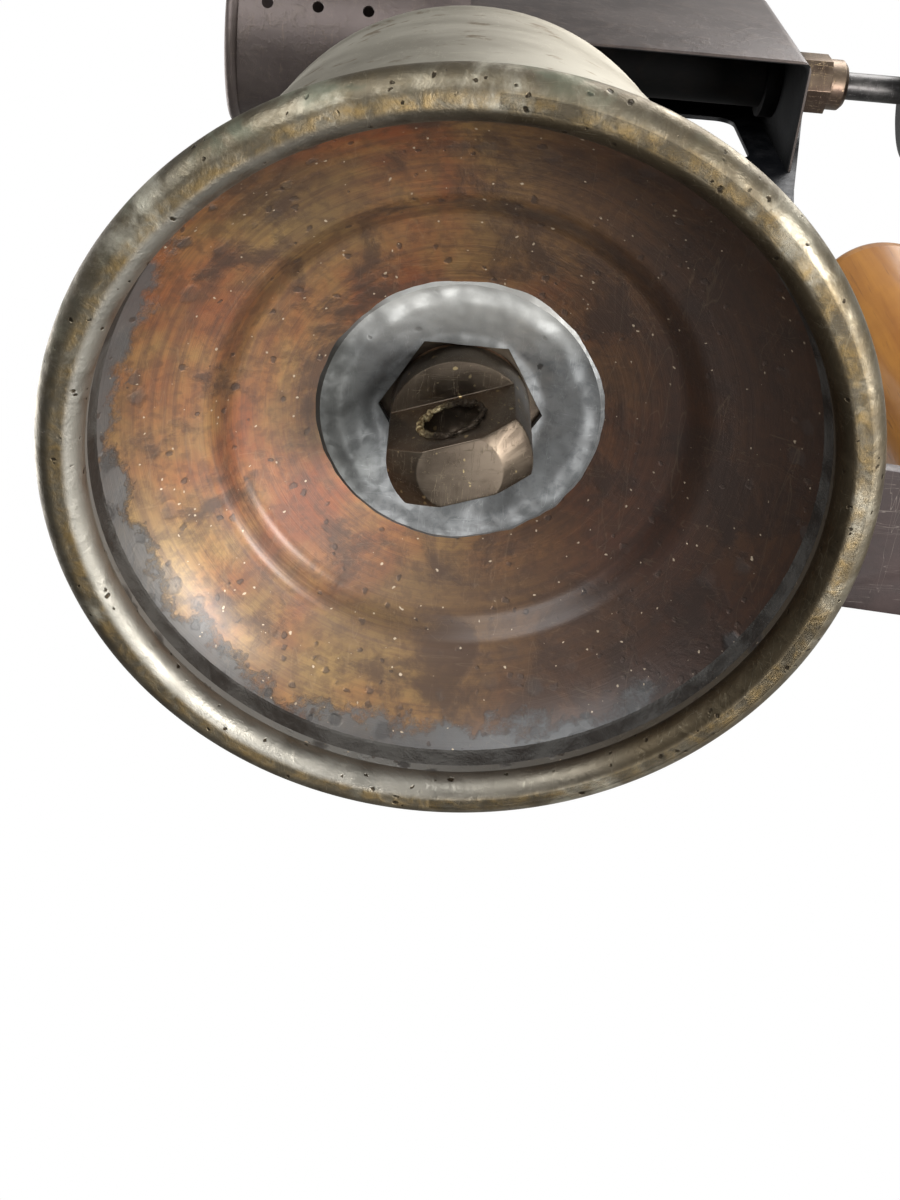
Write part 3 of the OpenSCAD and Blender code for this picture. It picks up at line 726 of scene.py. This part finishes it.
# The inner faces are nearly black, beginning within the sheet's thickness, from the sheet's
# colour to black.
near_inner_face = (-0.01335, -0.01325)
top_inner_face = (0.27145, 0.27135)
rear_inner_face = (0.08595, 0.08585)
hood_sheet, tree, place, shader = surface("hood_sheet", 0.5)
stain = mask(tree, patches, place, Scale=24.0, Cover=0.5, Edge=0.2)
dust = mask(tree, patches, place, Scale=210.0, Cover=0.4, Edge=0.12)
spread = node(tree, "SeparateXYZ", {"Vector": place})
colour = mix(tree, stain, (0.046, 0.035, 0.032), (0.086, 0.070, 0.064))
colour = mix(tree, times(tree, dust, 0.35), colour, (0.12, 0.09, 0.075))
within = times(tree, rise(tree, spread.outputs["Y"], *near_inner_face),
               rise(tree, spread.outputs["Z"], *top_inner_face))
within = times(tree, within, rise(tree, spread.outputs["X"], *rear_inner_face))
colour = mix(tree, within, colour, (0.004, 0.004, 0.0045))
rough = plus(tree, level_of(tree, stain, 0.42, 0.55), within, 0.35)
lay_surface(tree, shader, colour, rough, dust, 0.00005)
paint(smooth_copy("hood_sheet", "hood", "root"), hood_sheet)

black_iron, tree, place, shader = surface("black_iron", 0.0)
flake = mask(tree, patches, place, Scale=180.0, Cover=0.45, Edge=0.12)
colour = mix(tree, flake, (0.005, 0.0055, 0.007), (0.014, 0.014, 0.016))
lay_surface(tree, shader, colour, level_of(tree, flake, 0.45, 0.65), flake, 0.00005)
shader.inputs["Specular IOR Level"].default_value = 0.3
paint(smooth_copy("cheek_stay", "cheek_plate", "root"), black_iron)
paint(smooth_copy("cheek_screw_heads", "cheek_screws", "root", 0.0002), steel)


# --- Spindle and knob --------------------------------------------------------------------
# Dark steel spindle, with the needle's steel tip at its end and a black moulded knob that a
# small brass nut holds.
paint(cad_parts["needle_tip"], steel)
paint(smooth_copy("spindle_rod", "needle_spindle", "spindle"), steel)
knob_black, tree, place, shader = surface("knob_black", 0.0)
wear = mask(tree, patches, place, Scale=130.0, Cover=0.4, Edge=0.12)
colour = mix(tree, wear, (0.012, 0.013, 0.013), (0.030, 0.032, 0.031))
lay_surface(tree, shader, colour, level_of(tree, wear, 0.30, 0.5), wear, 0.00004)
paint(smooth_copy("knob_disc", "control_knob", "spindle", 0.0007, 3), knob_black)


# --- Handle ------------------------------------------------------------------------------
# Turned hardwood under old honey-coloured varnish, on a browned iron strap. A steel tie rod
# through the wood holds it to the strap.
grain_middle = (-0.0837, -0.0066, 0)
varnish, tree, place, shader = surface("varnished_wood", 0.0)
along = node(tree, "Mapping", {
    "Vector": place, "Location": grain_middle, "Scale": (1, 1, 0.09)})
rings = node(tree, "TexNoise", {"Vector": along.outputs[0], "Scale": 260.0, "Detail": 5.0,
                                "Distortion": 0.8})
blotch = mask(tree, patches, place, Scale=40.0, Cover=0.45, Edge=0.2)
drawn = node(tree, "Mapping", {"Vector": place, "Scale": (1, 1, 0.035)})
pores = node(tree, "TexNoise", {"Vector": drawn.outputs[0], "Scale": 2400.0, "Detail": 2.0})
colour = mix(tree, rise(tree, rings.outputs[0], 0.3, 0.7),
             (0.34, 0.125, 0.016), (0.55, 0.24, 0.035))
colour = mix(tree, times(tree, blotch, 0.5), colour, (0.30, 0.11, 0.022))
deep = level_of(tree, pores.outputs[0], 0, 0.7, 0.62, 0.75)
colour = mix(tree, deep, colour, (0.16, 0.06, 0.015))
gloss = level_of(tree, blotch, 0.28, 0.42)
lay_surface(tree, shader, colour, gloss, rings.outputs[0], 0.00006)
shader.inputs["Coat Weight"].default_value = 0.6
shader.inputs["Coat Roughness"].default_value = 0.12
paint(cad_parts["handle_grip"], varnish)

strap_iron, tree, place, shader = surface("browned_iron", 0.5)
rust = mask(tree, patches, place, Scale=90.0, Cover=0.5, Edge=0.15)
marks = mask(tree, scratches, place, Scale=60.0, Amount=0.35)
colour = mix(tree, rust, (0.026, 0.017, 0.016), (0.050, 0.033, 0.031))
colour = mix(tree, marks, colour, (0.28, 0.24, 0.21))
lay_surface(tree, shader, colour, level_of(tree, rust, 0.45, 0.6), rust, 0.00005)
paint(smooth_copy("strap_bar", "handle_strap", "root", 0.0004), strap_iron)
paint(smooth_copy("tie_rod", "handle_rod", "root"), steel)
